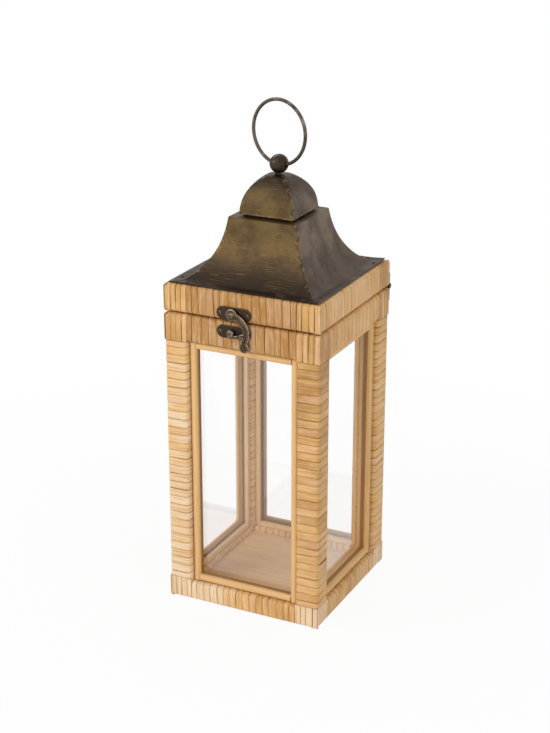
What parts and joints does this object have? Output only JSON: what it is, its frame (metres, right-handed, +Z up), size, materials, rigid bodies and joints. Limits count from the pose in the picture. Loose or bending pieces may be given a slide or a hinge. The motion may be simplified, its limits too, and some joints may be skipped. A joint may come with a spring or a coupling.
{
  "type": "candle lantern",
  "caption": "Tall square candle lantern: rattan-wrapped wooden frame, glass windows, hinged lid with a flared metal roof, square dome, carrying ring and swing-hook latch.",
  "frame": {"origin": "centre of the lantern's flat underside, on the surface that it stands on", "axes": "+Z up, -Y towards the front with the latch, +X to the right seen from the front"},
  "size_m": [0.16, 0.172, 0.488],
  "materials": {
    "rattan_peel": "satin",
    "frame_wood": "matte",
    "plywood": "matte",
    "rattan_trim": "satin",
    "window_glass": "clear",
    "bronze_sheet": "satin, brushed antique bronze",
    "bronze_fitting": "satin, antique bronze"
  },
  "bodies": {
    "body": {"base_board": "plywood", "post_front_left": "frame_wood", "post_front_right": "frame_wood", "post_back_right": "frame_wood", "post_back_left": "frame_wood", "post_peel_front_left": "rattan_peel", "post_peel_front_right": "rattan_peel", "post_peel_back_right": "rattan_peel", "post_peel_back_left": "rattan_peel", "sill_front": "frame_wood", "sill_right": "frame_wood", "sill_back": "frame_wood", "sill_left": "frame_wood", "sill_peel_front": "rattan_peel", "sill_peel_right": "rattan_peel", "sill_peel_back": "rattan_peel", "sill_peel_left": "rattan_peel", "head_front": "frame_wood", "head_right": "frame_wood", "head_back": "frame_wood", "head_left": "frame_wood", "head_peel_front": "rattan_peel", "head_peel_right": "rattan_peel", "head_peel_back": "rattan_peel", "head_peel_left": "rattan_peel", "corner_peel_top": "rattan_peel", "corner_peel_foot": "rattan_peel", "glass_front": "window_glass", "glass_right": "window_glass", "glass_back": "window_glass", "glass_left": "window_glass", "window_trim_front": "rattan_trim", "window_trim_right": "rattan_trim", "window_trim_back": "rattan_trim", "window_trim_left": "rattan_trim", "glazing_beads": "rattan_trim", "catch_plate": "bronze_fitting", "catch_stud": "bronze_fitting", "hinge_leaves_lower": "bronze_fitting", "hinge_pins": "bronze_fitting", "body_tacks": "bronze_fitting"},
    "lid": {"lid_rail_front": "frame_wood", "lid_rail_right": "frame_wood", "lid_rail_back": "frame_wood", "lid_rail_left": "frame_wood", "lid_peel_front": "rattan_peel", "lid_peel_right": "rattan_peel", "lid_peel_back": "rattan_peel", "lid_peel_left": "rattan_peel", "corner_peel_lid": "rattan_peel", "roof_flare": "bronze_sheet", "roof_dome": "bronze_sheet", "finial_ball": "bronze_fitting", "roof_nails": "bronze_fitting", "latch_plate": "bronze_fitting", "latch_rivet": "bronze_fitting", "hinge_leaves_upper": "bronze_fitting", "lid_tacks": "bronze_fitting"},
    "ring": {"carry_ring": "bronze_fitting"},
    "hook": {"latch_hook": "bronze_fitting"}
  },
  "joints": [
    {"name": "lid_hinge", "type": "hinge", "parent": "body", "child": "lid", "pos_m": [0, 0.0829, 0.2965], "axis": [-1, 0, 0], "range_deg": [0, 175]},
    {"name": "ring_swing", "type": "hinge", "parent": "lid", "child": "ring", "pos_m": [0, 0, 0.427], "axis": [0.9781, -0.2079, 0], "range_deg": [-135, 135]},
    {"name": "hook_swing", "type": "hinge", "parent": "lid", "child": "hook", "pos_m": [-0.0071, -0.0835, 0.3046], "axis": [0, -1, 0], "range_deg": [0, 120]}
  ]
}
